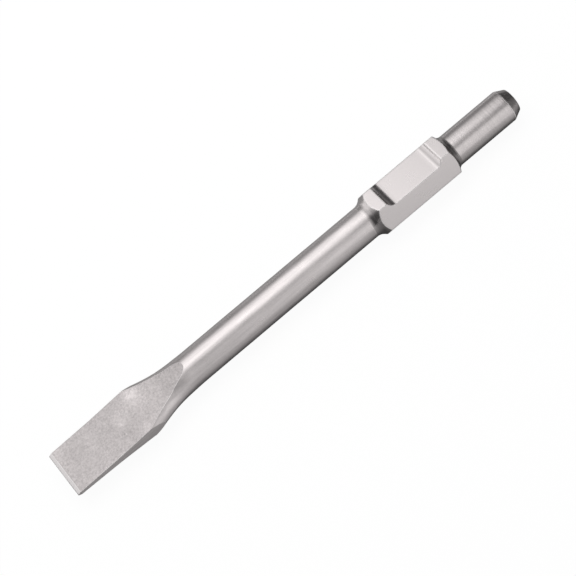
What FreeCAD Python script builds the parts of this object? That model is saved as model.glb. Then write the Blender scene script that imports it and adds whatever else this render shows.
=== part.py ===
"""Floor scraper chisel for a breaker hammer, forged and machined from one steel bar.

The chisel lies along X. The striking end is at X = 0 and the cutting edge points along +X. Z is up through the
hexagon flat that holds the retainer notch, and the blade's two broad faces are parallel to that flat. All sizes
are in millimetres.

From the striking end the bar has a chamfered round guide, a filleted shoulder, a hexagon with the retainer notch in its
top flat, a turned neck, a round body and a forged blade. The blade spreads sideways from the body with barrelled
sides, thins between two pressed faces, is trimmed to width by two flat sides, and ends in a ground double bevel.
"""

import FreeCAD, Part
import math
import os

# Round guide, which slides in the hammer's sleeve
GUIDE_DIAMETER = 23.3
GUIDE_LENGTH = 56.2
STRIKING_FACE_DIAMETER = 16.9
STRIKING_CHAMFER_LENGTH = 6.4
GUIDE_FILLET = 4.5

# Hexagon, which stops the chisel turning
HEX_ACROSS_FLATS = 30.0
HEX_LENGTH = 59.9
SHOULDER_RIM = 0.4
SHOULDER_ANGLE = 68.0
SHOULDER_CHAMFER_ANGLE = 30.0

# Turned neck between the hexagon and the body
NECK_CONE_ANGLE = 42.0
NECK_FILLET = 7.5

# Retainer notch, milled across the top flat
NOTCH_SETBACK = 8.45
NOTCH_LENGTH = 45.1
NOTCH_DEPTH = 3.5
NOTCH_CUTTER_RADIUS = 6.0

# Round body
BODY_DIAMETER = 23.9
BODY_LENGTH = 142.7

# Blade in plan: the bar spreads along an arc and its sides are pressed flat
BLADE_LENGTH = 108.1
BLADE_WIDTH = 35.6
SPREAD_RADIUS = 122.0
BARREL_HEIGHT = 18.3
BARREL_LENGTH = 21.5

# Blade in profile: a steep heel, the long blade slope and a thinner tip
HEEL_SETBACK = 6.0
HEEL_ANGLE = 15.1
HEEL_BLEND_RADIUS = 34.0
BLADE_ANGLE = 4.72
TIP_ANGLE = 2.03
TIP_LENGTH = 32.4
TIP_BLEND_RADIUS = 200.0
BEVEL_LENGTH = 2.4
BEVEL_HEEL_THICKNESS = 3.34
EDGE_THICKNESS = 0.4

# Construction
SPREAD_SECTIONS = 9
SPREAD_ROOM = 6.0
TOOL_ROOM = 10.0
NO_LENGTH = 1e-6


def slope(degrees):
    return math.tan(math.radians(degrees))


# Places along the bar, worked out from the sizes above
GUIDE_RADIUS = GUIDE_DIAMETER / 2
BODY_RADIUS = BODY_DIAMETER / 2
HEX_FLAT = HEX_ACROSS_FLATS / 2
HEX_CORNER = HEX_ACROSS_FLATS / math.sqrt(3)
SHOULDER_X = GUIDE_LENGTH
HEX_END_X = SHOULDER_X + HEX_LENGTH
NECK_ROOT_X = HEX_END_X + (HEX_CORNER - BODY_RADIUS) / slope(NECK_CONE_ANGLE)
BODY_X = NECK_ROOT_X + NECK_FILLET * slope(NECK_CONE_ANGLE / 2)
SPREAD_X = BODY_X + BODY_LENGTH
HEEL_X = SPREAD_X + HEEL_SETBACK
EDGE_X = SPREAD_X + BLADE_LENGTH
BEVEL_X = EDGE_X - BEVEL_LENGTH
TIP_X = EDGE_X - TIP_LENGTH


def rounded_wire(corners):
    """A closed wire in the XZ plane through (x, z, radius) corners, each rounded by a tangent arc."""
    places = [FreeCAD.Vector(x, 0, z) for x, z, radius in corners]
    runs = []
    for number, (x, z, radius) in enumerate(corners):
        place = places[number]
        back = (places[number - 1] - place).normalize()
        ahead = (places[(number + 1) % len(places)] - place).normalize()
        half = back.getAngle(ahead) / 2
        if radius > 0:
            start = place + back * (radius / math.tan(half))
            end = place + ahead * (radius / math.tan(half))
            inward = (back + ahead).normalize()
            middle = place + inward * (radius / math.sin(half) - radius)
            runs.append((start, middle, end))
        else:
            runs.append((place, None, place))
    edges = []
    for number, (start, middle, end) in enumerate(runs):
        if middle is not None:
            edges.append(Part.Arc(start, middle, end).toShape())
        following = runs[(number + 1) % len(runs)][0]
        if end.distanceToPoint(following) > NO_LENGTH:
            edges.append(Part.LineSegment(end, following).toShape())
    return Part.Wire(edges)


def revolved(corners):
    """The solid that a profile in the XZ plane sweeps about the bar's axis."""
    face = Part.Face(rounded_wire(corners))
    return face.revolve(FreeCAD.Vector(0, 0, 0), FreeCAD.Vector(1, 0, 0), 360)


def extruded(corners, width):
    """A profile in the XZ plane, extruded to a width centred on the axis."""
    face = Part.Face(rounded_wire(corners))
    solid = face.extrude(FreeCAD.Vector(0, width, 0))
    solid.translate(FreeCAD.Vector(0, -width / 2, 0))
    return solid


def turned_bar():
    """Guide, shoulder, neck and body as turned, with full round stock where the hexagon will be."""
    stock = HEX_CORNER + SHOULDER_RIM
    rim = HEX_FLAT - SHOULDER_RIM
    face_run = (rim - GUIDE_RADIUS) / slope(SHOULDER_ANGLE)
    face_length = (rim - GUIDE_RADIUS) / math.sin(math.radians(SHOULDER_ANGLE))
    fillet = min(GUIDE_FILLET, 0.97 * face_length / slope(SHOULDER_ANGLE / 2))
    return revolved([
        (0, 0, 0),
        (0, STRIKING_FACE_DIAMETER / 2, 0),
        (STRIKING_CHAMFER_LENGTH, GUIDE_RADIUS, 0),
        (SHOULDER_X - face_run, GUIDE_RADIUS, fillet),
        (SHOULDER_X, rim, 0),
        (SHOULDER_X + (stock - rim) * slope(SHOULDER_CHAMFER_ANGLE), stock, 0),
        (HEX_END_X - (stock - HEX_CORNER) / slope(NECK_CONE_ANGLE), stock, 0),
        (NECK_ROOT_X, BODY_RADIUS, NECK_FILLET),
        (SPREAD_X, BODY_RADIUS, 0),
        (SPREAD_X, 0, 0),
    ])


def hexagon():
    """The hexagonal stock whose flats cut the turned bar, with one flat facing up."""
    corners = []
    for number in range(6):
        angle = math.radians(30 + 60 * number)
        corners.append(FreeCAD.Vector(0, HEX_CORNER * math.sin(angle), HEX_CORNER * math.cos(angle)))
    face = Part.Face(Part.makePolygon(corners + corners[:1]))
    return face.extrude(FreeCAD.Vector(SPREAD_X, 0, 0))


def retainer_notch():
    """The milling cutter's path across the top flat, with the cutter's radius at both ends."""
    floor = HEX_FLAT - NOTCH_DEPTH
    overhang = NOTCH_CUTTER_RADIUS - NOTCH_DEPTH
    reach = math.sqrt(NOTCH_CUTTER_RADIUS ** 2 - overhang ** 2)
    start = SHOULDER_X + NOTCH_SETBACK - (NOTCH_CUTTER_RADIUS - reach)
    end = SHOULDER_X + NOTCH_SETBACK + NOTCH_LENGTH + (NOTCH_CUTTER_RADIUS - reach)
    top = floor + NOTCH_CUTTER_RADIUS + TOOL_ROOM
    return extruded([
        (start, top, 0),
        (start, floor, NOTCH_CUTTER_RADIUS),
        (end, floor, NOTCH_CUTTER_RADIUS),
        (end, top, 0),
    ], 2 * (HEX_CORNER + TOOL_ROOM))


def bar_section(x, half_width, half_height):
    """The barrelled outline of the spread bar at one place, as a circle or an ellipse with its long axis in Y."""
    centre = FreeCAD.Vector(x, 0, 0)
    if half_width - half_height < NO_LENGTH:
        curve = Part.Circle(centre, FreeCAD.Vector(1, 0, 0), half_width)
        curve.XAxis = FreeCAD.Vector(0, 1, 0)
    else:
        side = FreeCAD.Vector(x, half_width, 0)
        crown = FreeCAD.Vector(x, 0, half_height)
        curve = Part.Ellipse(side, crown, centre)
    return Part.Wire(curve.toShape())


def spread_bar():
    """The hot bar as it spreads sideways under the press, before its faces and sides are pressed flat."""
    widest = BLADE_WIDTH / 2 + SPREAD_ROOM
    growth = widest - BODY_RADIUS
    length = math.sqrt(growth * (2 * SPREAD_RADIUS - growth))
    sections = []
    for number in range(SPREAD_SECTIONS + 1):
        along = length * number / SPREAD_SECTIONS
        half_width = BODY_RADIUS + SPREAD_RADIUS - math.sqrt(SPREAD_RADIUS ** 2 - along ** 2)
        settled = min(max((along - HEEL_SETBACK) / BARREL_LENGTH, 0), 1)
        drop = (BODY_RADIUS - BARREL_HEIGHT / 2) * (1 - math.cos(math.pi * settled)) / 2
        sections.append(bar_section(SPREAD_X + along, half_width, BODY_RADIUS - drop))
    spread = Part.makeLoft(sections, True)
    rest = Part.Face(sections[-1]).extrude(FreeCAD.Vector(EDGE_X - SPREAD_X - length, 0, 0))
    return spread.fuse(rest)


def pressed_profile():
    """The space between the two pressed faces, from the body to the cutting edge."""
    bevel_heel = BEVEL_HEEL_THICKNESS / 2
    tip_height = bevel_heel + (BEVEL_X - TIP_X) * slope(TIP_ANGLE)
    fall = BODY_RADIUS - tip_height - (TIP_X - HEEL_X) * slope(BLADE_ANGLE)
    heel_run = fall / (slope(HEEL_ANGLE) - slope(BLADE_ANGLE))
    root_x = HEEL_X + heel_run
    root_height = BODY_RADIUS - heel_run * slope(HEEL_ANGLE)
    start_height = BODY_RADIUS + (HEEL_X - SPREAD_X) * slope(HEEL_ANGLE)
    upper = [
        (SPREAD_X, start_height, 0),
        (root_x, root_height, HEEL_BLEND_RADIUS),
        (TIP_X, tip_height, TIP_BLEND_RADIUS),
        (BEVEL_X, bevel_heel, 0),
        (EDGE_X, EDGE_THICKNESS / 2, 0),
    ]
    lower = [(x, -z, radius) for x, z, radius in reversed(upper)]
    return extruded(upper + lower, BLADE_WIDTH)


def chisel():
    """The whole chisel as one solid."""
    shank = turned_bar().common(hexagon()).cut(retainer_notch())
    blade = spread_bar().common(pressed_profile())
    return shank.fuse(blade).removeSplitter().Solids[0]


os.makedirs("parts", exist_ok=True)
chisel().exportStep("parts/chisel.step")
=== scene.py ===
"""Floor scraper chisel in forged and machined steel, with its studio stage.

The chisel is one piece. Its mesh is laid out as rings of points round the bar, from the striking face to the
cutting edge, so that a line of points runs along every edge that a maker would see: the shoulder, the
hexagon's rims and corners, the notch, the neck, the outline of the pressed faces and the trimmed sides. The
forged part is then made slightly uneven, as the hammer leaves it, and the edges are broken by a fine bevel.
"""

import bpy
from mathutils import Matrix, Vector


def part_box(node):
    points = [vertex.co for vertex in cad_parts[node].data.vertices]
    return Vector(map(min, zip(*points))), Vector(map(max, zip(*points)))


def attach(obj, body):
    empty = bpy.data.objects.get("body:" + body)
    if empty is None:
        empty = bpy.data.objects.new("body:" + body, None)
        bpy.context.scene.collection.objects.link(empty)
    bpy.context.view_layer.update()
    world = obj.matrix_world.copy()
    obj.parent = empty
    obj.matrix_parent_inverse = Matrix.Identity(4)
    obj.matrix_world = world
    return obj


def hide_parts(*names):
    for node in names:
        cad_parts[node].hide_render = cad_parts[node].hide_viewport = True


bl_info = {
    "name": "Floor scraper chisel",
    "version": (1, 0, 0),
    "blender": (4, 5, 0),
    "location": "3D View > Sidebar > Chisel",
    "description": "A forged floor scraper chisel with a hexagonal shank, and the stage it is shown on",
    "category": "Add Mesh",
}

from math import acos, asin, cos, pi, radians, sin, sqrt, tan

import bmesh
import bpy
from bpy.props import FloatProperty, FloatVectorProperty, PointerProperty
from bpy.types import Operator, Panel, PropertyGroup
from mathutils import Matrix, Vector, noise

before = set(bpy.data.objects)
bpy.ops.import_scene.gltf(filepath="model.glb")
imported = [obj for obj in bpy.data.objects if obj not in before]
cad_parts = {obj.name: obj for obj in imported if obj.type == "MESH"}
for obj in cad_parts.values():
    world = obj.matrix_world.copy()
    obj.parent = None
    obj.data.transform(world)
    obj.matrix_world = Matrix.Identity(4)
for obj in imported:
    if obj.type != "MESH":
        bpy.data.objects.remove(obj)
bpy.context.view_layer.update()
CAD_LOW, CAD_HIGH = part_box("chisel")

# The finishes, in the order of the piece's material slots
FINISHES = ("forged", "bar", "neck", "milled", "turned", "scale", "ground", "worn_and_highlight")

# Points round the shank, by sixths, and round the blade: across a face, round a barrelled side and down a
# flat side
SECTORS = 6
SECTOR_STEPS = 16
FACE_STEPS = 36
BARREL_STEPS = 24
SIDE_STEPS = 8

# Rows along the shank
END_ROWS = 4
GUIDE_ROWS = 24
FILLET_ROWS = 14
SHOULDER_ROWS = 2
RIM_ROWS = 3
FLAT_ROWS = 4
NOTCH_END_ROWS = 8
NOTCH_FLOOR_ROWS = 16
CONE_ROWS = 3
NECK_ROWS = 10

# Rows along the body and the blade. Those at the heel are turns of the body's circle, in degrees, and those
# at the flat sides' tips are distances.
BODY_ROWS = 74
SPREAD_ROWS = 4
HEEL_TURNS = (6, 12, 18, 24, 30)
FLARE_ROWS = 26
SIDE_TIP_ROWS = (0.0002, 0.0006, 0.0012, 0.002)
BARREL_ROWS = 12
PRESSED_ROWS = 44
BEVEL_ROWS = 3

# Length over which the hexagon's curved rims pass into straight rows
RIM_REACH = 0.0015

# Share of the spread's arc that the blade may follow before its sides are trimmed
ARC_SHARE = 0.7

# How often the search for the barrelled sides' end halves its range
HALVINGS = 50

# Distances below which two points, or two places along the bar, are one
SAME_POINT = 1e-7
SAME_PLACE = 1e-9

# Lengths of the waves on the body and on the pressed faces, and how they are stretched or squeezed
BODY_WAVE = 0.007
BODY_STRETCH = 0.35
FACE_WAVE = 0.009
FACE_SQUEEZE = 3

# The finer waves on top of them: share of the height, share of the length, and shift of the noise
FINE_HEIGHT = 0.45
FINE_LENGTH = 0.41
FINE_SHIFT = Vector((7.3, 1.9, 4.1))

# Where the unevenness starts behind the neck, where it ends before the bevels, and how it passes to the faces
NECK_CALM = (0.004, 0.02)
BEVEL_CALM = (0.006, 0.001)
HEEL_PASSAGE = 0.01
FACE_PASSAGE = (0.5, 0.85)

# Room that the bevels on the trimmed sides may need at the blade's corners
EDGE_ROOM = 0.00002

# Shallow hollows that the last hammer blows left in the upper face: place along, place across, reach, depth
HAMMER_HOLLOWS = (
    (0.3050, -0.0085, 0.0085, 0.00016),
    (0.3210, 0.0010, 0.0075, 0.00014),
    (0.3410, -0.0060, 0.0100, 0.00012),
    (0.3560, 0.0070, 0.0090, 0.00010),
)

# Edges with more than the first turn are crisp, and their bevel grows to its full width over the next two.
# An edge with hardly any bevel is shaded sharp from the last turn up.
CRISP_TURN = radians(12)
BEVEL_TURNS = (radians(13), radians(28))
SHARP_TURN = radians(20)
FAINT_BEVEL = 0.15

# Share of the neighbouring edges that a bevel may take up, and the faces across it
BEVEL_ROOM = 0.45
BEVEL_SEGMENTS = 2


def length(name, description, default):
    return FloatProperty(name=name, description=description, default=default, subtype="DISTANCE",
                         unit="LENGTH")


def angle(name, description, degrees):
    return FloatProperty(name=name, description=description, default=radians(degrees), subtype="ANGLE",
                         unit="ROTATION")


def colour(name, description, default):
    return FloatVectorProperty(name=name, description=description, default=default, size=3, subtype="COLOR",
                               min=0.0, max=1.0)


def share(name, description, default, highest=1.0):
    return FloatProperty(name=name, description=description, default=default, min=0.0, max=highest,
                         subtype="FACTOR")


class ChiselShank(PropertyGroup):
    """Sizes of the machined shank: guide, hexagon, notch and neck."""

    striking_face: length("Striking face", "Diameter of the face that the hammer strikes", 0.0169)
    striking_chamfer: length("Striking chamfer", "Length of the chamfer behind the striking face", 0.0064)
    guide: length("Guide", "Diameter of the round guide", 0.0233)
    guide_length: length("Guide length", "From the striking face to the shoulder", 0.0562)
    guide_fillet: length("Guide fillet", "Radius between the guide and the shoulder", 0.0045)
    across_flats: length("Across flats", "Size of the hexagon", 2 * CAD_HIGH.z)
    hexagon_length: length("Hexagon length", "From the shoulder to the hexagon's far corners", 0.0599)
    shoulder_rim: length("Shoulder rim", "Depth of the shoulder's face below the flats", 0.0004)
    shoulder_slope: angle("Shoulder slope", "Slope of the shoulder's face beyond the fillet", 68)
    shoulder_angle: angle("Shoulder chamfer", "Chamfer that rounds the hexagon's corners at the shoulder", 30)
    notch_setback: length("Notch setback", "From the shoulder to the notch", 0.00845)
    notch_length: length("Notch length", "Length of the notch at the flat", 0.0451)
    notch_depth: length("Notch depth", "Depth of the notch below the flat", 0.0035)
    notch_cutter: length("Notch cutter", "Radius that the milling cutter leaves at the notch's ends", 0.006)
    neck_angle: angle("Neck angle", "Slope of the turned neck", 42)
    neck_fillet: length("Neck fillet", "Radius between the neck and the body", 0.0075)


class ChiselBlade(PropertyGroup):
    """Sizes of the round body and the forged blade."""

    body: length("Body", "Diameter of the round body", 0.0239)
    body_length: length("Body length", "From the neck to where the bar starts to spread", 0.1427)
    edge_place: length("Overall length", "From the striking face to the cutting edge", CAD_HIGH.x)
    width: length("Blade width", "Between the trimmed sides", 2 * CAD_HIGH.y)
    spread_radius: length("Spread radius", "Radius along which the bar spreads sideways", 0.122)
    barrel_height: length("Barrel height", "Height of the barrelled sides once they have settled", 0.0183)
    barrel_length: length("Barrel length", "Length over which the barrelled sides settle", 0.0215)
    heel_setback: length("Heel setback", "From the start of the spread to the pressed faces", 0.0060)
    heel_angle: angle("Heel angle", "Slope of the steep heel", 15.1)
    heel_blend: length("Heel blend", "Radius between the heel and the blade", 0.034)
    blade_angle: angle("Blade angle", "Slope of each pressed face", 4.72)
    tip_angle: angle("Tip angle", "Slope of each face near the cutting edge", 2.03)
    tip_length: length("Tip length", "Length of the thinner tip", 0.0324)
    tip_blend: length("Tip blend", "Radius between the blade and the tip", 0.2)
    bevel_length: length("Bevel length", "Length of the ground bevels", 0.0024)
    bevel_heel: length("Bevel heel", "Thickness of the blade where the bevels start", 0.00334)
    edge: length("Edge", "Thickness of the cutting edge", 0.0004)


class ChiselSurface(PropertyGroup):
    """How even the steel is and how far its edges are broken."""

    edge_break: length("Edge break", "Width of the bevel on every crisp edge", 0.00036)
    face_unevenness: length("Face unevenness", "Height of the forging marks on the pressed faces", 0.00011)
    bar_unevenness: length("Bar unevenness", "Height of the waves on the body", 0.00004)


class ChiselFinish(PropertyGroup):
    """Colour and roughness of each finish."""

    forged: colour("Forged faces", "Shot-blasted steel of the pressed faces", (0.625, 0.586, 0.584))
    forged_roughness: share("Forged roughness", "How matt the pressed faces are", 0.42)
    bar: colour("Body", "Satin steel of the round body", (0.74, 0.695, 0.692))
    bar_roughness: share("Body roughness", "How matt the body is", 0.30)
    milled: colour("Milled flats", "Steel of the hexagon and the notch", (0.72, 0.678, 0.676))
    milled_roughness: share("Milled roughness", "How matt the hexagon is", 0.28)
    turned: colour("Turned guide", "Steel of the round guide", (0.69, 0.647, 0.645))
    turned_roughness: share("Turned roughness", "How matt the guide is", 0.24)
    neck: colour("Neck", "Smooth turned steel of the neck", (0.66, 0.62, 0.617))
    neck_roughness: share("Neck roughness", "How matt the neck is", 0.2)
    # Darker steel on the striking face, its chamfer, the guide's fillet and the shoulder; in the fillet's
    # hollow the darkness is partly painted shade
    scale: colour("Dark turning", "Chamfer and fillets, which keep some dark scale", (0.46, 0.434, 0.43))
    scale_roughness: share("Dark turning roughness", "How matt the dark turning is", 0.34)
    ground: colour("Ground edge", "Fresh steel of the two bevels", (0.80, 0.765, 0.765))
    ground_roughness: share("Ground roughness", "How matt the bevels are", 0.36)
    # The worn edge colour is partly wear and partly a painted highlight that brightens every bevelled edge
    worn_and_highlight: colour("Worn edge", "Bare steel where an edge is worn bright", (0.95, 0.915, 0.91))
    worn_and_highlight_roughness: share("Worn roughness", "How matt the worn edges are", 0.5)


class ChiselStage(PropertyGroup):
    """The floor, the light and the tent that the steel reflects."""

    floor: colour("Floor", "Colour of the floor", (0.90, 0.90, 0.90))
    roof_light: FloatProperty(name="Roof light", default=12.0, min=0.0,
                              description="Power of the soft lamp above the floor, in watts")
    tent_light: share("Tent light", "Brightness of the whole tent", 1.0, highest=2.0)


def row_of(points):
    return [Vector(point) for point in points]


def between(first, last, steps):
    """Evenly spaced values from first to last, both included."""
    return [first + (last - first) * step / steps for step in range(steps + 1)]


def smooth(low, high, value):
    """Rises from 0 at low to 1 at high, with no kink at either end."""
    part = min(max((value - low) / (high - low), 0.0), 1.0)
    return part * part * (3 - 2 * part)


class ShankPlan:
    """The machined shank as rings, from the centre of the striking face to the body."""

    def __init__(self, sizes, body_radius):
        self.sizes = sizes
        self.body_radius = body_radius
        self.flat = sizes.across_flats / 2
        self.corner = self.flat / cos(pi / 6)
        self.rim = self.flat - sizes.shoulder_rim
        self.shoulder = sizes.guide_length
        self.hexagon_end = self.shoulder + sizes.hexagon_length
        neck_root = self.hexagon_end + (self.corner - body_radius) / tan(sizes.neck_angle)
        self.body_start = neck_root + sizes.neck_fillet * tan(sizes.neck_angle / 2)

    def directions(self):
        step = pi / 3 / SECTOR_STEPS
        return [-pi / 6 + step * number for number in range(SECTORS * SECTOR_STEPS)]

    def ring(self, x, radius):
        return row_of((x, radius * sin(a), radius * cos(a)) for a in self.directions())

    def section(self, top):
        """Points round the hexagon, with its top flat milled down to the given height."""
        corners = [(self.corner * sin(pi / 6 + pi / 3 * k), self.corner * cos(pi / 6 + pi / 3 * k))
                   for k in range(SECTORS)]
        reach = self.corner - top * tan(pi / 6)
        corners[0] = (reach, top)
        corners[-1] = (-reach, top)
        points = []
        for k in range(SECTORS):
            (y0, z0), (y1, z1) = corners[k - 1], corners[k]
            for step in range(SECTOR_STEPS):
                turn = -pi / 6 + pi / 3 * step / SECTOR_STEPS
                part = (tan(turn) / tan(pi / 6) + 1) / 2
                points.append((y0 + (y1 - y0) * part, z0 + (z1 - z0) * part))
        return points

    def hexagon(self, x, top=None):
        return row_of((x, y, z) for y, z in self.section(self.flat if top is None else top))

    def shoulder_edge(self, radius):
        return self.shoulder + (radius - self.rim) * tan(self.sizes.shoulder_angle)

    def neck_edge(self, radius):
        return self.hexagon_end + (self.corner - radius) / tan(self.sizes.neck_angle)

    def rim_row(self, edge, straight, part):
        """A row between a curved rim, where part is 0, and a straight ring, where it is 1."""
        points = []
        for y, z in self.section(self.flat):
            rim_x = edge(sqrt(y * y + z * z))
            points.append((rim_x + (straight - rim_x) * part, y, z))
        return row_of(points)

    def cone_row(self, edge, start_radius, part):
        """A row on a cone between a circle, where part is 0, and the hexagon's curved rim, where it is 1."""
        points = []
        for y, z in self.section(self.flat):
            reach = sqrt(y * y + z * z)
            radius = start_radius + (reach - start_radius) * part
            points.append((edge(radius), y * radius / reach, z * radius / reach))
        return row_of(points)

    def notch_tops(self):
        """Places along the notch with the height of its floor there."""
        sizes = self.sizes
        floor = self.flat - sizes.notch_depth
        cutter = sizes.notch_cutter
        overhang = cutter - sizes.notch_depth
        reach = sqrt(cutter ** 2 - overhang ** 2)
        start = self.shoulder + sizes.notch_setback
        end = start + sizes.notch_length
        swing = asin(reach / cutter)
        wall = [(reach - cutter * sin(a), floor + cutter - cutter * cos(a))
                for a in between(swing, 0, NOTCH_END_ROWS)]
        opening = [(start + x, z) for x, z in wall]
        closing = [(end - x, z) for x, z in reversed(wall)]
        middle = [(x, floor) for x in between(opening[-1][0], closing[0][0], NOTCH_FLOOR_ROWS)[1:-1]]
        return opening, middle, closing

    def strips(self):
        """Finish names with the rows that each of them covers."""
        sizes = self.sizes
        face, guide = sizes.striking_face / 2, sizes.guide / 2
        chamfer, fillet, swing = sizes.striking_chamfer, sizes.guide_fillet, sizes.shoulder_slope
        fillet_start = self.shoulder - (self.rim - guide) / tan(swing) - fillet * tan(swing / 2)
        fillet_end = (fillet_start + fillet * sin(swing), guide + fillet * (1 - cos(swing)))
        opening, middle, closing = self.notch_tops()
        lead = self.shoulder_edge(self.corner) + RIM_REACH
        tail = self.hexagon_end - RIM_REACH
        neck = sizes.neck_fillet
        neck_top = self.body_radius + neck - neck * cos(sizes.neck_angle)
        return [
            ("scale", [self.ring(0, radius) for radius in between(0, face, END_ROWS)]),
            ("scale", [self.ring(chamfer * part, face + (guide - face) * part)
                       for part in between(0, 1, END_ROWS)]),
            ("turned", [self.ring(x, guide) for x in between(chamfer, fillet_start, GUIDE_ROWS)]),
            ("scale", [self.ring(fillet_start + fillet * sin(a), guide + fillet - fillet * cos(a))
                       for a in between(0, swing, FILLET_ROWS)]),
            ("scale", [self.ring(*fillet_end), self.ring(self.shoulder, self.rim)]),
            ("milled", [self.cone_row(self.shoulder_edge, self.rim, part)
                        for part in between(0, 1, SHOULDER_ROWS)]),
            ("milled", [self.rim_row(self.shoulder_edge, lead, part) for part in between(0, 1, RIM_ROWS)]),
            ("milled", [self.hexagon(x) for x in between(lead, opening[0][0], FLAT_ROWS)]),
            ("milled", [self.hexagon(x, top) for x, top in opening + middle + closing]),
            ("milled", [self.hexagon(x) for x in between(closing[-1][0], tail, FLAT_ROWS)]),
            ("milled", [self.rim_row(self.neck_edge, tail, part) for part in between(1, 0, RIM_ROWS)]),
            ("neck", [self.cone_row(self.neck_edge, neck_top, part) for part in between(1, 0, CONE_ROWS)]),
            ("neck", [self.ring(self.body_start - neck * sin(a), self.body_radius + neck - neck * cos(a))
                      for a in between(sizes.neck_angle, 0, NECK_ROWS)]),
        ]


class BladePlan:
    """The body and the forged blade as rings, from the neck to the cutting edge."""

    def __init__(self, sizes, body_start):
        self.sizes = sizes
        self.radius = sizes.body / 2
        self.half = sizes.width / 2
        self.body_start = body_start
        self.spread = body_start + sizes.body_length
        self.heel = self.spread + sizes.heel_setback
        self.end = sizes.edge_place
        self.bevel = self.end - sizes.bevel_length
        self.tip = self.end - sizes.tip_length
        bevel_heel = sizes.bevel_heel / 2
        self.tip_height = bevel_heel + (self.bevel - self.tip) * tan(sizes.tip_angle)
        fall = self.radius - self.tip_height - (self.tip - self.heel) * tan(sizes.blade_angle)
        run = fall / (tan(sizes.heel_angle) - tan(sizes.blade_angle))
        self.root = self.heel + run
        self.root_height = self.radius - run * tan(sizes.heel_angle)
        growth = self.half - self.radius
        self.side_start = self.spread + sqrt(growth * (2 * sizes.spread_radius - growth))
        self.corner = self.meeting_place()

    def half_width(self, x):
        along = max(x - self.spread, 0)
        arc = self.sizes.spread_radius
        return self.radius + arc - sqrt(arc ** 2 - min(along, ARC_SHARE * arc) ** 2)

    def half_height(self, x):
        settled = min(max((x - self.heel) / self.sizes.barrel_length, 0), 1)
        return self.radius - (self.radius - self.sizes.barrel_height / 2) * (1 - cos(pi * settled)) / 2

    def blended(self, x, place, height, steep, flat, blend):
        """Height of the valley between two slopes that meet at a place and are joined by an arc."""
        reach = blend * tan((steep - flat) / 2)
        start = place - reach * cos(steep)
        finish = place + reach * cos(flat)
        if x <= start:
            return height + (place - x) * tan(steep)
        if x >= finish:
            return height - (x - place) * tan(flat)
        centre_x = start + blend * sin(steep)
        centre_z = height + reach * sin(steep) + blend * cos(steep)
        return centre_z - sqrt(blend ** 2 - (x - centre_x) ** 2)

    def face_height(self, x):
        """Half thickness between the pressed faces."""
        sizes = self.sizes
        if x >= self.bevel:
            part = (x - self.bevel) / sizes.bevel_length
            return sizes.bevel_heel / 2 + (sizes.edge - sizes.bevel_heel) / 2 * part
        if x > (self.root + self.tip) / 2:
            return self.blended(x, self.tip, self.tip_height, sizes.blade_angle, sizes.tip_angle,
                                sizes.tip_blend)
        return self.blended(x, self.root, self.root_height, sizes.heel_angle, sizes.blade_angle,
                            sizes.heel_blend)

    def turns(self, x):
        """Where the barrelled side starts and ends on its ellipse, as angles from the top."""
        width, height = self.half_width(x), self.half_height(x)
        first = acos(min(self.face_height(x) / height, 1)) if x > self.heel else 0.0
        last = asin(self.half / width) if width > self.half else pi / 2
        return first, last

    def meeting_place(self):
        """Where the pressed faces and the trimmed sides meet and the barrelled sides end."""
        low, high = self.side_start, self.tip
        for _ in range(HALVINGS):
            middle = (low + high) / 2
            first, last = self.turns(middle)
            if first < last:
                low = middle
            else:
                high = middle
        return high

    def quarter(self, x):
        """From the edge of the pressed face round the barrelled side to the flat side, as (y, z) points."""
        if x >= self.corner:
            return [(self.half, self.face_height(x))] * (BARREL_STEPS + 1)
        width, height = self.half_width(x), self.half_height(x)
        first, last = self.turns(x)
        return [(width * sin(turn), height * cos(turn)) for turn in between(first, last, BARREL_STEPS)]

    def row(self, x):
        quarter = self.quarter(x)
        half, face = quarter[0]
        side, side_height = quarter[-1]
        points = [(y, face) for y in between(-half, half, FACE_STEPS)][:-1]
        points += quarter[:-1]
        points += [(side, z) for z in between(side_height, -side_height, SIDE_STEPS)][:-1]
        points += [(y, -z) for y, z in reversed(quarter)][:-1]
        points += [(y, -face) for y in between(half, -half, FACE_STEPS)][:-1]
        points += [(-y, -z) for y, z in quarter][:-1]
        points += [(-side, z) for z in between(-side_height, side_height, SIDE_STEPS)][:-1]
        points += [(-y, z) for y, z in reversed(quarter)][:-1]
        return row_of((x, y, z) for y, z in points)

    def places(self):
        """Where the blade's rows stand: closer together at the heel, the sides' tips and the bevels."""
        places = between(self.body_start, self.spread, BODY_ROWS)
        places += between(self.spread, self.heel, SPREAD_ROWS)[1:]
        slope = tan(self.sizes.heel_angle)
        places += [self.heel + self.radius * (1 - cos(radians(turn))) / slope for turn in HEEL_TURNS]
        places += between(places[-1], self.side_start, FLARE_ROWS)[1:]
        places += [self.side_start + reach for reach in SIDE_TIP_ROWS]
        places += between(places[-1], self.corner, BARREL_ROWS)[1:]
        places += between(self.corner, self.bevel, PRESSED_ROWS)[1:]
        places += between(self.bevel, self.end, BEVEL_ROWS)[1:]
        return places

    def finish_of(self, x, column):
        """The finish of the face that starts at a place and a column."""
        if x < self.spread - SAME_PLACE:
            return "bar"
        if x >= self.bevel - SAME_PLACE:
            return "ground" if self.is_pressed(column) else "forged"
        return "forged" if self.is_pressed(column) else "bar"

    def is_pressed(self, column):
        around = FACE_STEPS + 2 * BARREL_STEPS + SIDE_STEPS
        return column % around < FACE_STEPS


def join_rows(bm, first, last, finish_of_column):
    """Faces between two rows of mesh points."""
    count = len(first)
    for column in range(count):
        following = (column + 1) % count
        face = bm.faces.new((first[column], first[following], last[following], last[column]))
        face.smooth = True
        face.material_index = FINISHES.index(finish_of_column(column))


def lay_strip(bm, rows, finish_of):
    """Faces over a run of rings. finish_of gives the finish from the row's number and the column."""
    laid = [[bm.verts.new(point) for point in row] for row in rows]
    for number in range(len(laid) - 1):
        join_rows(bm, laid[number], laid[number + 1], lambda column, n=number: finish_of(n, column))


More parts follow.
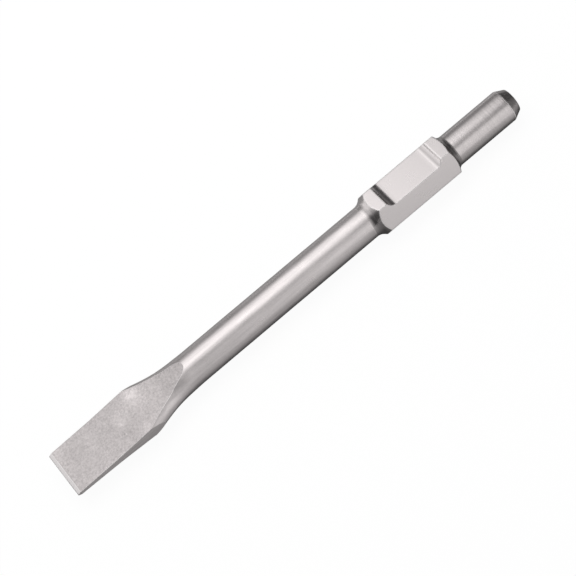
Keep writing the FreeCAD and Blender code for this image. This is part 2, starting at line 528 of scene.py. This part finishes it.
def close_edge(bm):
    """The narrow flat of the cutting edge, which closes the mesh between the two bevels."""
    rim = [edge for edge in bm.edges if len(edge.link_faces) == 1]
    for face in bmesh.ops.edgeloop_fill(bm, edges=rim)["faces"]:
        face.smooth = True
        face.material_index = FINISHES.index("ground")


def forging_marks(place, scale):
    """A smooth uneven field between about -1 and 1, with waves of about the given length."""
    fine = noise.noise(place / (scale * FINE_LENGTH) + FINE_SHIFT)
    return noise.noise(place / scale) + FINE_HEIGHT * fine


def make_uneven(bm, blade, surface):
    """Moves the forged points a little along their normals, and keeps them within the solid's box."""
    bm.normal_update()
    start, full = (blade.body_start + reach for reach in NECK_CALM)
    moves = {}
    for vert in bm.verts:
        x, y, z = vert.co
        if x < start:
            continue
        away = smooth(start, full, x)
        pressed = smooth(blade.heel, blade.heel + HEEL_PASSAGE, x) * smooth(*FACE_PASSAGE, abs(vert.normal.z))
        waves = forging_marks(Vector((x * BODY_STRETCH, y, z)), BODY_WAVE)
        waves *= surface.bar_unevenness * away * (1 - pressed)
        marks = forging_marks(Vector((x, y, z * FACE_SQUEEZE)), FACE_WAVE) * surface.face_unevenness * pressed
        hollow = 0.0
        if z > 0:
            for along, across, reach, depth in HAMMER_HOLLOWS:
                distance = sqrt((x - along) ** 2 + (y - across) ** 2) / reach
                hollow -= depth * (1 - smooth(0, 1, distance)) * pressed
        calm = 1 - smooth(blade.bevel - BEVEL_CALM[0], blade.bevel - BEVEL_CALM[1], x)
        moves[vert] = (waves + marks + hollow) * calm
    for vert, move in moves.items():
        vert.co += vert.normal * move
        vert.co.y = min(max(vert.co.y, EDGE_ROOM - blade.half), blade.half - EDGE_ROOM)
        vert.co.x = min(vert.co.x, blade.end)


def mark_edges(bm, edge_break):
    """Gives every crisp edge a bevel weight, less where the mesh is too fine for the full width."""
    weights = bm.edges.layers.float.new("bevel_weight_edge")
    crisp = {}
    for edge in bm.edges:
        if len(edge.link_faces) != 2:
            continue
        turn = edge.calc_face_angle(0.0)
        if turn > CRISP_TURN:
            crisp[edge] = turn
    for edge, turn in crisp.items():
        room = 1.0
        for vert in edge.verts:
            for other in vert.link_edges:
                if other is not edge and other not in crisp:
                    room = min(room, BEVEL_ROOM * other.calc_length() / edge_break)
        edge[weights] = room * smooth(*BEVEL_TURNS, turn)
        edge.smooth = edge[weights] > FAINT_BEVEL or turn < SHARP_TURN


def chisel_mesh(settings):
    """The whole chisel as one closed mesh."""
    shank = ShankPlan(settings.shank, settings.blade.body / 2)
    blade = BladePlan(settings.blade, shank.body_start)
    bm = bmesh.new()
    for finish, rows in shank.strips():
        lay_strip(bm, rows, lambda number, column, finish=finish: finish)
    places = blade.places()
    lay_strip(bm, [blade.row(x) for x in places],
              lambda number, column: blade.finish_of(places[number], column))
    bmesh.ops.remove_doubles(bm, verts=bm.verts[:], dist=SAME_POINT)
    bmesh.ops.dissolve_degenerate(bm, edges=bm.edges[:], dist=SAME_POINT)
    close_edge(bm)
    bmesh.ops.recalc_face_normals(bm, faces=bm.faces[:])
    open_edges = [edge for edge in bm.edges if len(edge.link_faces) != 2]
    if open_edges:
        raise RuntimeError(f"the chisel's mesh has {len(open_edges)} edges that don't join two faces")
    make_uneven(bm, blade, settings.surface)
    mark_edges(bm, settings.surface.edge_break)
    mesh = bpy.data.meshes.new("chisel_steel")
    bm.to_mesh(mesh)
    bm.free()
    return mesh


# Places on the upper face made lighter or darker, partly the steel's own mottled tone and partly painted
# highlights and painted shade: place, reach, strength
FACE_TONE_AND_PAINTED_LIGHT = (
    ((0.3120, -0.0110, 0.0053), 0.0080, 0.20),
    ((0.3100, -0.0070, 0.0055), 0.0150, 0.15),
    ((0.3265, -0.0040, 0.0041), 0.0080, 0.12),
    ((0.3280, 0.0005, 0.0040), 0.0050, 0.10),
    ((0.3270, 0.0090, 0.0040), 0.0060, -0.10),
    # The shaded and the lit side of a small nick, painted as a dark spot beside a light one
    ((0.3295, 0.0075, 0.0039), 0.0011, -0.40),
    ((0.3283, 0.0083, 0.0040), 0.0011, 0.40),
    ((0.3165, 0.0140, 0.0050), 0.0060, 0.13),
    ((0.3430, -0.0120, 0.0028), 0.0080, -0.05),
    ((0.3600, -0.0040, 0.0023), 0.0120, -0.06),
    ((0.3725, -0.0130, 0.0018), 0.0110, 0.14),
    ((0.2860, 0.0000, 0.0090), 0.0110, 0.05),
)

# A painted highlight along the upper part of the wall at the guide's end of the notch: spots at even steps
# across it
NOTCH_HIGHLIGHT_STEP = 0.0015
NOTCH_PAINTED_HIGHLIGHT = tuple(((0.0654, NOTCH_HIGHLIGHT_STEP * step, 0.0142), 0.0021, 0.22) for step in range(-7, 8))

# Painted shade in the neck's hollow and in the shoulder's fillet, on the side with positive Y, and one
# painted highlight in each, towards negative Y
NECK_PAINTED_LIGHT_AND_SHADE = (
    ((0.1225, -0.0035, 0.0115), 0.0050, 0.15),
    ((0.1190, 0.0075, 0.0115), 0.0050, -0.32),
    ((0.1190, 0.0115, 0.0080), 0.0070, -0.45),
    ((0.1190, 0.0140, 0.0030), 0.0080, -0.50),
    ((0.1185, 0.0145, -0.0030), 0.0080, -0.35),
    ((0.1222, 0.0075, 0.0100), 0.0042, -0.22),
    ((0.1225, 0.0105, 0.0065), 0.0050, -0.32),
    ((0.1225, 0.0122, 0.0015), 0.0055, -0.32),
)
FILLET_PAINTED_LIGHT_AND_SHADE = (
    ((0.0545, -0.0040, 0.0120), 0.0080, 0.22),
    ((0.0545, 0.0070, 0.0105), 0.0070, -0.28),
    ((0.0550, 0.0115, 0.0060), 0.0060, -0.25),
)


class NodeDesk:
    """Lays out a tree's nodes from left to right and joins them."""

    STEP = 220
    DROP = -120

    def __init__(self, tree):
        self.tree = tree
        tree.nodes.clear()
        self.column = 0

    def add(self, kind, *, inputs=None, **settings):
        node = self.tree.nodes.new(kind)
        node.location = (self.STEP * self.column, self.DROP * (self.column % 3))
        self.column += 1
        for name, value in settings.items():
            setattr(node, name, value)
        for name, value in (inputs or {}).items():
            if isinstance(value, bpy.types.NodeSocket):
                self.tree.links.new(value, node.inputs[name])
            else:
                node.inputs[name].default_value = value
        return node

    def waves(self, place, stretch, scale, detail=2.0, roughness=0.5):
        """Soft noise over the object, with its coordinates stretched along each axis."""
        mapping = self.add("ShaderNodeMapping", inputs={"Vector": place, "Scale": stretch})
        pattern = self.add("ShaderNodeTexNoise", inputs={
            "Vector": mapping.outputs["Vector"], "Scale": scale, "Detail": detail, "Roughness": roughness})
        return pattern.outputs["Fac"]

    def spread_to(self, value, low, high, first=0.3, last=0.7):
        """Maps noise between first and last onto low and high."""
        node = self.add("ShaderNodeMapRange", inputs={
            "Value": value, "From Min": first, "From Max": last, "To Min": low, "To Max": high})
        return node.outputs["Result"]

    def times(self, first, second):
        node = self.add("ShaderNodeMath", operation="MULTIPLY", inputs={0: first, 1: second})
        return node.outputs["Value"]

    def tinted(self, colour_value, strength):
        """The finish's colour, made lighter or darker by a pattern around 1."""
        node = self.add("ShaderNodeVectorMath", operation="SCALE",
                        inputs={0: tuple(colour_value), "Scale": strength})
        return node.outputs["Vector"]

    def bump(self, height, distance, normal=None):
        inputs = {"Height": height, "Distance": distance, "Strength": 1.0}
        if normal is not None:
            inputs["Normal"] = normal
        return self.add("ShaderNodeBump", inputs=inputs).outputs["Normal"]

    def ramp(self, value, stops, low, high):
        """Greys over a value that runs from low to high, from (place, brightness) stops."""
        part = self.spread_to(value, 0.0, 1.0, first=low, last=high)
        node = self.add("ShaderNodeValToRGB", inputs={"Fac": part})
        colours = node.color_ramp
        colours.interpolation = "LINEAR"
        while len(colours.elements) > 1:
            colours.elements.remove(colours.elements[-1])
        places = [(place - low) / (high - low) for place, _ in stops]
        colours.elements[0].position = places[0]
        for place in places[1:]:
            colours.elements.new(place)
        for element, (_, tone) in zip(colours.elements, stops):
            element.color = (tone, tone, tone, 1.0)
        return node.outputs["Color"]

    def product(self, first, second):
        node = self.add("ShaderNodeVectorMath", operation="MULTIPLY", inputs={0: first, 1: second})
        return node.outputs["Vector"]

    def seen_directly(self):
        """1 for rays from the camera and from mirror-like or clear surfaces, 0 for soft light."""
        path = self.add("ShaderNodeLightPath")
        seen = path.outputs["Is Camera Ray"]
        for kind in ("Is Glossy Ray", "Is Transmission Ray"):
            node = self.add("ShaderNodeMath", operation="ADD", use_clamp=True,
                            inputs={0: seen, 1: path.outputs[kind]})
            seen = node.outputs["Value"]
        return seen

    def surface(self, socket):
        self.add("ShaderNodeOutputMaterial", inputs={"Surface": socket})

    def glow(self, tone, strength):
        node = self.add("ShaderNodeEmission", inputs={"Color": tone, "Strength": strength})
        return node.outputs["Emission"]


def new_material(name):
    """A material with an empty node tree, and the desk that lays out its nodes."""
    material = bpy.data.materials.new(name)
    material.use_nodes = True
    return material, NodeDesk(material.node_tree)


def steel(name, colour_value, roughness, *, grain, grain_depth, speck, cloud, uneven, mottle=(3.0, 0.6),
          streak=None, spots_and_painted_light=()):
    """A bare steel finish.

    grain is the number of grains per metre, speck how much their tone differs, and mottle their detail and
    roughness. cloud is the scale and strength of slow changes in tone, and uneven how much they change the
    roughness. streak is the stretch, scale and strength of fine lines. The last argument gives the places,
    reaches and strengths of spots made lighter or darker: some are the steel's own tone, the others painted
    highlights and painted shade.
    """
    material, desk = new_material(name)
    place = desk.add("ShaderNodeTexCoord").outputs["Object"]
    even = (1.0, 1.0, 1.0)
    cloud_scale, cloud_strength = cloud
    clouds = desk.waves(place, even, cloud_scale, detail=4.0, roughness=0.62)
    tone = desk.spread_to(clouds, 1 - cloud_strength, 1 + cloud_strength)
    specks = desk.waves(place, even, grain, detail=mottle[0], roughness=mottle[1])
    tone = desk.times(tone, desk.spread_to(specks, 1 - speck, 1 + speck))
    # Spots made lighter or darker: some are the steel's own tone, the others painted highlights and painted
    # shade
    for spot, reach, strength in spots_and_painted_light:
        distance = desk.add("ShaderNodeVectorMath", operation="DISTANCE", inputs={0: place, 1: spot})
        spot_tone_and_light = desk.add("ShaderNodeMapRange", interpolation_type="SMOOTHSTEP", inputs={
            "Value": distance.outputs["Value"], "From Min": 0.0, "From Max": reach, "To Min": 1 + strength,
            "To Max": 1.0})
        tone = desk.times(tone, spot_tone_and_light.outputs["Result"])
    rough = desk.spread_to(clouds, roughness - uneven, roughness + uneven)
    normal = desk.bump(specks, grain_depth)
    if streak is not None:
        stretch, streak_scale, streak_strength = streak
        lines = desk.waves(place, stretch, streak_scale, detail=3.0, roughness=0.55)
        tone = desk.times(tone, desk.spread_to(lines, 1 - streak_strength, 1 + streak_strength))
        normal = desk.bump(lines, grain_depth, normal)
    shader = desk.add("ShaderNodeBsdfPrincipled", inputs={
        "Base Color": desk.tinted(colour_value, tone), "Metallic": 1.0, "Roughness": rough, "Normal": normal})
    desk.surface(shader.outputs["BSDF"])
    return material


def steel_finishes(finish):
    """The finishes in the order of FINISHES."""
    along = (0.06, 1.0, 1.0)
    around = (1.0, 0.05, 0.05)
    return [
        steel("shot_blasted_face", finish.forged, finish.forged_roughness, grain=680, grain_depth=0.00008,
              mottle=(6.0, 0.85), speck=0.31, cloud=(170, 0.07), uneven=0.05, spots_and_painted_light=FACE_TONE_AND_PAINTED_LIGHT),
        steel("satin_body", finish.bar, finish.bar_roughness, grain=1100, grain_depth=0.00003,
              speck=0.05, cloud=(110, 0.04), streak=(along, 500, 0.08), uneven=0.04),
        steel("turned_neck", finish.neck, finish.neck_roughness, grain=1500, grain_depth=0.00002,
              speck=0.03, cloud=(200, 0.05), streak=(around, 700, 0.04), uneven=0.02, spots_and_painted_light=NECK_PAINTED_LIGHT_AND_SHADE),
        steel("milled_flats", finish.milled, finish.milled_roughness, grain=1300, grain_depth=0.000015,
              speck=0.02, cloud=(90, 0.015), uneven=0.01, spots_and_painted_light=NOTCH_PAINTED_HIGHLIGHT),
        steel("turned_guide", finish.turned, finish.turned_roughness, grain=1200, grain_depth=0.00002,
              speck=0.07, cloud=(90, 0.03), streak=(around, 900, 0.04), uneven=0.02),
        # Darker steel, partly painted shade in the guide's fillet
        steel("dark_turning_and_fillet_shade", finish.scale, finish.scale_roughness, grain=1000, grain_depth=0.00006,
              speck=0.16, cloud=(300, 0.15), uneven=0.05, spots_and_painted_light=FILLET_PAINTED_LIGHT_AND_SHADE),
        steel("ground_edge", finish.ground, finish.ground_roughness, grain=1300, grain_depth=0.00002,
              speck=0.05, cloud=(150, 0.03), uneven=0.03),
        # Partly wear, partly a painted highlight along every bevelled edge
        steel("worn_edge_and_highlight", finish.worn_and_highlight, finish.worn_and_highlight_roughness, grain=1500, grain_depth=0.00001,
              speck=0.05, cloud=(400, 0.10), uneven=0.05),
    ]


class CHISEL_OT_forge(Operator):
    """Forge and machine the chisel from its sizes"""

    bl_idname = "chisel.forge"
    bl_label = "Forge the chisel"
    bl_options = {"REGISTER", "UNDO"}

    def execute(self, context):
        settings = context.scene.chisel
        piece = bpy.data.objects.new("chisel_steel", chisel_mesh(settings))
        context.scene.collection.objects.link(piece)
        for material in steel_finishes(settings.finish):
            piece.data.materials.append(material)
        edges = piece.modifiers.new("broken_edges", "BEVEL")
        edges.limit_method = "WEIGHT"
        edges.width = settings.surface.edge_break
        edges.segments = BEVEL_SEGMENTS
        edges.use_clamp_overlap = False
        # Every bevel takes the bright worn finish, partly wear and partly a painted highlight
        edges.material = FINISHES.index("worn_and_highlight")
        normals = piece.modifiers.new("even_normals", "WEIGHTED_NORMAL")
        normals.mode = "FACE_AREA"
        normals.keep_sharp = True
        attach(piece, "root")
        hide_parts("chisel")
        return {"FINISHED"}


WHITE = (1.0, 1.0, 1.0, 1.0)

# Share of the floor that shows plain white; the rest is paint, which keeps the soft shadow
FLOOR_WHITE = 0.95

# Brightness of the white room as soft light, where the camera and the steel see it at 1
ROOM_LIGHT = 0.55


def floor_material(tone):
    """A pale floor that shows white to the camera and to the steel, and keeps the chisel's soft shadow."""
    material, desk = new_material("pale_floor")
    part = desk.times(desk.seen_directly(), FLOOR_WHITE)
    paint = desk.add("ShaderNodeBsdfDiffuse", inputs={"Color": (*tone, 1.0)})
    white = desk.glow(WHITE, 1.0)
    mix = desk.add("ShaderNodeMixShader", inputs={0: part, 1: paint.outputs["BSDF"], 2: white})
    desk.surface(mix.outputs["Shader"])
    return material


# The tent's brightness is a value by the turn round the bar, in degrees from straight up towards positive Y,
# times a share by the sine of the slope along the bar, towards the cutting edge. This is the cloth's.
CLOTH_ROUND = (
    (-100, 0.30), (-80, 0.32), (-60, 0.30), (-30, 0.20), (0, 0.15), (25, 0.47), (35, 0.56), (60, 0.47),
    (100, 0.46),
)
CLOTH_ALONG = (
    (-1, 0.55), (-0.9, 0.5), (-0.82, 0.3), (-0.66, 0.2), (-0.5, 0.35), (-0.33, 0.72), (-0.25, 1.0),
    (-0.185, 1.02), (-0.085, 1.08), (0.0, 1.0), (0.2, 0.8), (0.33, 0.55), (0.42, 0.22), (0.7, 0.2),
    (0.86, 0.35), (1, 0.15),
)

# The panel overhead, which gives the bar its bright band
TOP_PANEL_ROUND = (
    (-62, 0.0), (-48, 0.5), (-35, 0.9), (-24, 1.1), (-12, 1.25), (0, 1.2), (12, 0.6), (24, 0.1), (30, 0.0),
)
TOP_PANEL_ALONG = (
    (-0.38, 0), (-0.332, 0.15), (-0.298, 0.75), (-0.273, 0.95), (-0.234, 1.08), (-0.185, 1.15),
    (-0.155, 1.28), (-0.115, 1.27), (-0.085, 1.2), (-0.045, 1.13), (0.035, 1.08), (0.166, 0.97),
    (0.269, 0.75), (0.424, 0.55), (0.802, 0.5), (1, 0.3),
)

# The panel at the side, which gives it the second, softer band
SIDE_PANEL_ROUND = ((34, 0.0), (44, 0.38), (56, 0.54), (75, 0.48), (90, 0.35), (100, 0.3))
SIDE_PANEL_ALONG = (
    (-0.666, 0), (-0.477, 0.8), (-0.332, 1), (-0.273, 1.2), (-0.204, 0.95), (-0.15, 0.98), (-0.13, 0.62),
    (-0.11, 0.44), (-0.065, 0.28), (0, 0.14), (0.166, 0.06), (0.424, 0),
)

# The low panel beyond the cutting edge, which lights the bevel and the neck
FRONT_PANEL_ROUND = ((-95, 1.1), (-63, 0.98), (-50, 0.85), (-40, 0.6), (-25, 0.12), (0, 0.0))
FRONT_PANEL_ALONG = ((0.217, 0), (0.477, 0.5), (0.636, 0.85), (0.859, 0.9), (0.92, 0.4), (1, 0.1))

TURN_RANGE = (-180, 180)
SLOPE_RANGE = (-1, 1)
TENT_PARTS = (
    (CLOTH_ROUND, CLOTH_ALONG),
    (TOP_PANEL_ROUND, TOP_PANEL_ALONG),
    (SIDE_PANEL_ROUND, SIDE_PANEL_ALONG),
    (FRONT_PANEL_ROUND, FRONT_PANEL_ALONG),
)

# Brightness of the card under the bar, which only the steel sees: painted shade, darkest right beside the
# bar, across the bar and along it, in metres
CARD_ACROSS = (
    (-0.5, 0.42), (-0.3, 0.40), (-0.1, 0.35), (-0.048, 0.34), (-0.03, 0.28), (-0.018, 0.20), (-0.01, 0.05),
    (0.01, 0.05), (0.018, 0.12), (0.0205, 0.18), (0.0235, 0.26), (0.0265, 0.33), (0.03, 0.36), (0.048, 0.43),
    (0.1, 0.54), (0.16, 0.54), (0.24, 0.5), (0.3, 0.6), (0.5, 0.65),
)
CARD_ALONG = (
    (-0.5, 0.2), (-0.3, 0.3), (-0.15, 0.8), (-0.06, 1.6), (0.0, 1.1), (0.03, 1.0), (0.40, 1.0), (0.415, 0.4),
    (0.46, 0.15), (1.0, 0.12),
)
CARD_ACROSS_RANGE = (-0.5, 0.5)
CARD_ALONG_RANGE = (-0.5, 1.0)


def tent_material(light):
    """The inside of the tent: grey cloth with panels overhead, at the side and beyond the cutting edge."""
    material, desk = new_material("light_tent")
    place = desk.add("ShaderNodeTexCoord").outputs["Object"]
    direction = desk.add("ShaderNodeVectorMath", operation="NORMALIZE", inputs={0: place})
    axes = desk.add("ShaderNodeSeparateXYZ", inputs={"Vector": direction.outputs["Vector"]})
    across, along, up = axes.outputs["Y"], axes.outputs["X"], axes.outputs["Z"]
    turn = desk.add("ShaderNodeMath", operation="ARCTAN2", inputs={0: across, 1: up})
    turn_degrees = desk.times(turn.outputs["Value"], 180 / pi)
    total = (0.0, 0.0, 0.0)
    for by_turn, by_slope in TENT_PARTS:
        part = desk.product(desk.ramp(turn_degrees, by_turn, *TURN_RANGE),
                            desk.ramp(along, by_slope, *SLOPE_RANGE))
        node = desk.add("ShaderNodeVectorMath", operation="ADD", inputs={0: total, 1: part})
        total = node.outputs["Vector"]
    desk.surface(desk.glow(total, light))
    return material


def seen_only_in_steel(thing):
    """Keeps a stage piece out of the camera's view and off the floor, but in the steel's reflections."""
    thing.visible_camera = False
    thing.visible_diffuse = False
    thing.visible_shadow = False
    thing.visible_transmission = False
    thing.visible_volume_scatter = False


def stage_world():
    """A white room for the camera and the steel, and a softer one as light."""
    world = bpy.data.worlds.new("studio_white")
    bpy.context.scene.world = world
    world.use_nodes = True
    desk = NodeDesk(world.node_tree)
    strength = desk.spread_to(desk.seen_directly(), ROOM_LIGHT, 1.0, first=0.0, last=1.0)
    background = desk.add("ShaderNodeBackground", inputs={"Color": WHITE, "Strength": strength})
    desk.add("ShaderNodeOutputWorld", inputs={"Surface": background.outputs["Background"]})


# The camera: its place, its axes to the right, up and backwards, its lens and sensor in millimetres, and its
# clipping distances
CAMERA_PLACE = (0.2886527, 0.54619676, 0.92973069)
CAMERA_AXES = (
    (-0.76252774, 0.58975733, -0.26596567),
    (-0.64059279, -0.63076043, 0.4379294),
    (0.09051146, 0.50430901, 0.85876662),
)
CAMERA_LENS = 105.78
CAMERA_SENSOR = 36.0
CAMERA_CLIP = (0.05, 50.0)

# The stage in metres: the floor and the card as corners, and the gaps that keep them apart and off the chisel
FLOOR_LOW, FLOOR_HIGH = (-30, -30), (30, 30)
CARD_LOW, CARD_HIGH = (-3, -0.6), (3, 0.6)
FLOOR_GAP = 0.0001
CARD_GAP = 0.0002
TENT_RADIUS = 3.0
TENT_SPLITS = 4
LAMP_SIZE = (1.2, 1.0)
LAMP_ACROSS, LAMP_HEIGHT = -0.35, 1.2
LAMP_TILT = radians(-16)


def stage_camera():
    """The camera that was fitted to the photo."""
    camera = bpy.data.cameras.new("camera")
    camera.sensor_width = CAMERA_SENSOR
    camera.lens = CAMERA_LENS
    camera.clip_start, camera.clip_end = CAMERA_CLIP
    holder = bpy.data.objects.new("camera", camera)
    axes = Matrix(CAMERA_AXES).transposed().to_4x4()
    holder.matrix_world = Matrix.Translation(CAMERA_PLACE) @ axes
    bpy.context.scene.collection.objects.link(holder)
    bpy.context.scene.camera = holder


def flat_sheet(name, low, high, height, material):
    """A level rectangle between two corners."""
    mesh = bpy.data.meshes.new(name)
    corners = [(low[0], low[1], height), (high[0], low[1], height), (high[0], high[1], height),
               (low[0], high[1], height)]
    mesh.from_pydata(corners, [], [(0, 1, 2, 3)])
    mesh.materials.append(material)
    sheet = bpy.data.objects.new(name, mesh)
    bpy.context.scene.collection.objects.link(sheet)
    return sheet


def painted_shade_card_material():
    """A graded card of painted shade, which only the steel sees: darkest beside the bar and beyond its ends.
    """
    material, desk = new_material("painted_shade_card")
    place = desk.add("ShaderNodeTexCoord").outputs["Object"]
    axes = desk.add("ShaderNodeSeparateXYZ", inputs={"Vector": place})
    across = desk.ramp(axes.outputs["Y"], CARD_ACROSS, *CARD_ACROSS_RANGE)
    along = desk.ramp(axes.outputs["X"], CARD_ALONG, *CARD_ALONG_RANGE)
    desk.surface(desk.glow(desk.product(across, along), 1.0))
    return material


def stage_tent(place, light):
    """The light tent round the chisel, which only the steel sees."""
    bm = bmesh.new()
    bmesh.ops.create_icosphere(bm, subdivisions=TENT_SPLITS, radius=TENT_RADIUS)
    mesh = bpy.data.meshes.new("light_tent")
    bm.to_mesh(mesh)
    bm.free()
    mesh.materials.append(tent_material(light))
    tent = bpy.data.objects.new("light_tent", mesh)
    tent.location = (place, 0, 0)
    bpy.context.scene.collection.objects.link(tent)
    seen_only_in_steel(tent)


def stage_lamp(place, power):
    """The soft lamp above the floor, which the steel doesn't see."""
    lamp = bpy.data.lights.new("roof_light", "AREA")
    lamp.shape = "RECTANGLE"
    lamp.size, lamp.size_y = LAMP_SIZE
    lamp.energy = power
    holder = bpy.data.objects.new("roof_light", lamp)
    holder.location = (place, LAMP_ACROSS, LAMP_HEIGHT)
    holder.rotation_euler = (LAMP_TILT, 0, 0)
    holder.visible_camera = False
    holder.visible_glossy = False
    bpy.context.scene.collection.objects.link(holder)


class CHISEL_OT_stage(Operator):
    """Lay the floor and set up the light, the tent and the camera"""

    bl_idname = "chisel.stage"
    bl_label = "Set the stage"
    bl_options = {"REGISTER", "UNDO"}

    def execute(self, context):
        stage = context.scene.chisel.stage
        context.scene.view_settings.view_transform = "Standard"
        floor_height = CAD_LOW.z - FLOOR_GAP
        flat_sheet("floor", FLOOR_LOW, FLOOR_HIGH, floor_height, floor_material(stage.floor))
        # A card of painted shade over the floor, which only the steel's reflections show
        card = flat_sheet("painted_shade_card", CARD_LOW, CARD_HIGH, floor_height + CARD_GAP, painted_shade_card_material())
        seen_only_in_steel(card)
        middle = (CAD_LOW.x + CAD_HIGH.x) / 2
        stage_tent(middle, stage.tent_light)
        stage_lamp(middle, stage.roof_light)
        stage_world()
        stage_camera()
        return {"FINISHED"}


class ChiselSettings(PropertyGroup):
    """Everything a user may change on the chisel and its stage."""

    shank: PointerProperty(type=ChiselShank)
    blade: PointerProperty(type=ChiselBlade)
    surface: PointerProperty(type=ChiselSurface)
    finish: PointerProperty(type=ChiselFinish)
    stage: PointerProperty(type=ChiselStage)


class CHISEL_PT_sidebar(Panel):
    """Sizes, finishes and stage of the chisel"""

    bl_idname = "CHISEL_PT_sidebar"
    bl_label = "Floor scraper chisel"
    bl_space_type = "VIEW_3D"
    bl_region_type = "UI"
    bl_category = "Chisel"

    def draw(self, context):
        settings = context.scene.chisel
        for title, group in (("Shank", settings.shank), ("Blade", settings.blade),
                             ("Surface", settings.surface), ("Finish", settings.finish),
                             ("Stage", settings.stage)):
            box = self.layout.box()
            box.label(text=title)
            for name in group.bl_rna.properties.keys():
                if name not in ("rna_type", "name"):
                    box.prop(group, name)
        self.layout.operator(CHISEL_OT_forge.bl_idname)
        self.layout.operator(CHISEL_OT_stage.bl_idname)


CLASSES = (ChiselShank, ChiselBlade, ChiselSurface, ChiselFinish, ChiselStage, ChiselSettings,
           CHISEL_OT_forge, CHISEL_OT_stage, CHISEL_PT_sidebar)


def register():
    for kind in CLASSES:
        bpy.utils.register_class(kind)
    bpy.types.Scene.chisel = PointerProperty(type=ChiselSettings)


def unregister():
    del bpy.types.Scene.chisel
    for kind in reversed(CLASSES):
        bpy.utils.unregister_class(kind)


def main():
    register()
    bpy.ops.chisel.forge()
    bpy.ops.chisel.stage()


if __name__ == "__main__":
    main()
